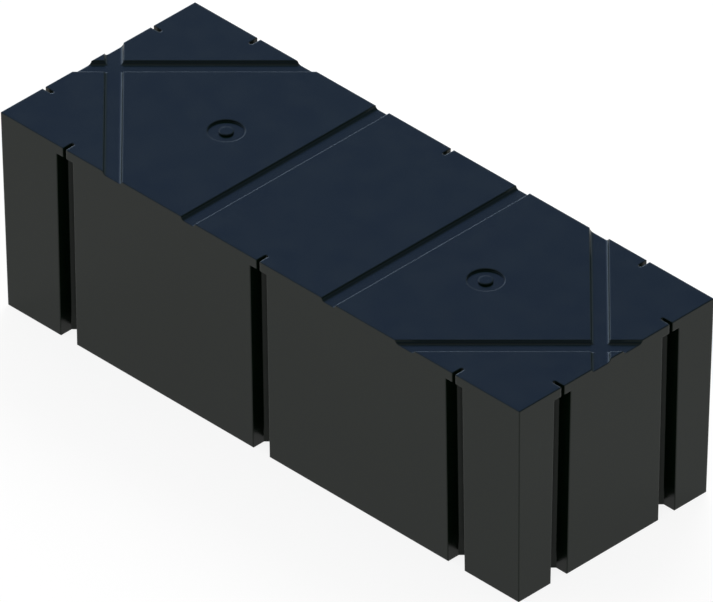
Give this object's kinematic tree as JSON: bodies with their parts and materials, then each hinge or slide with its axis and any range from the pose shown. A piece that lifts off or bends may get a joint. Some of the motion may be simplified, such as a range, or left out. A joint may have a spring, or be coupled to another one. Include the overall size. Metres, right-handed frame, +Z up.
{
  "type": "dock float drum",
  "caption": "Rectangular hollow dock float with drafted sides, open bolt slots over side channels, shallow top grooves and plugged fill ports.",
  "frame": {"origin": "centre of the bottom face", "axes": "+X along the length, +Y across the width, +Z up through the deck face; -Y is the front long side"},
  "size_m": [1.2192, 0.4572, 0.3937],
  "materials": {
    "float_shell": "black rotationally moulded polyethylene, fine satin",
    "fill_plug": "black injection moulded polyethylene, satin"
  },
  "bodies": {
    "root": {"float_shell": "float_shell", "fill_plug_left": "fill_plug", "fill_plug_right": "fill_plug"}
  },
  "joints": []
}
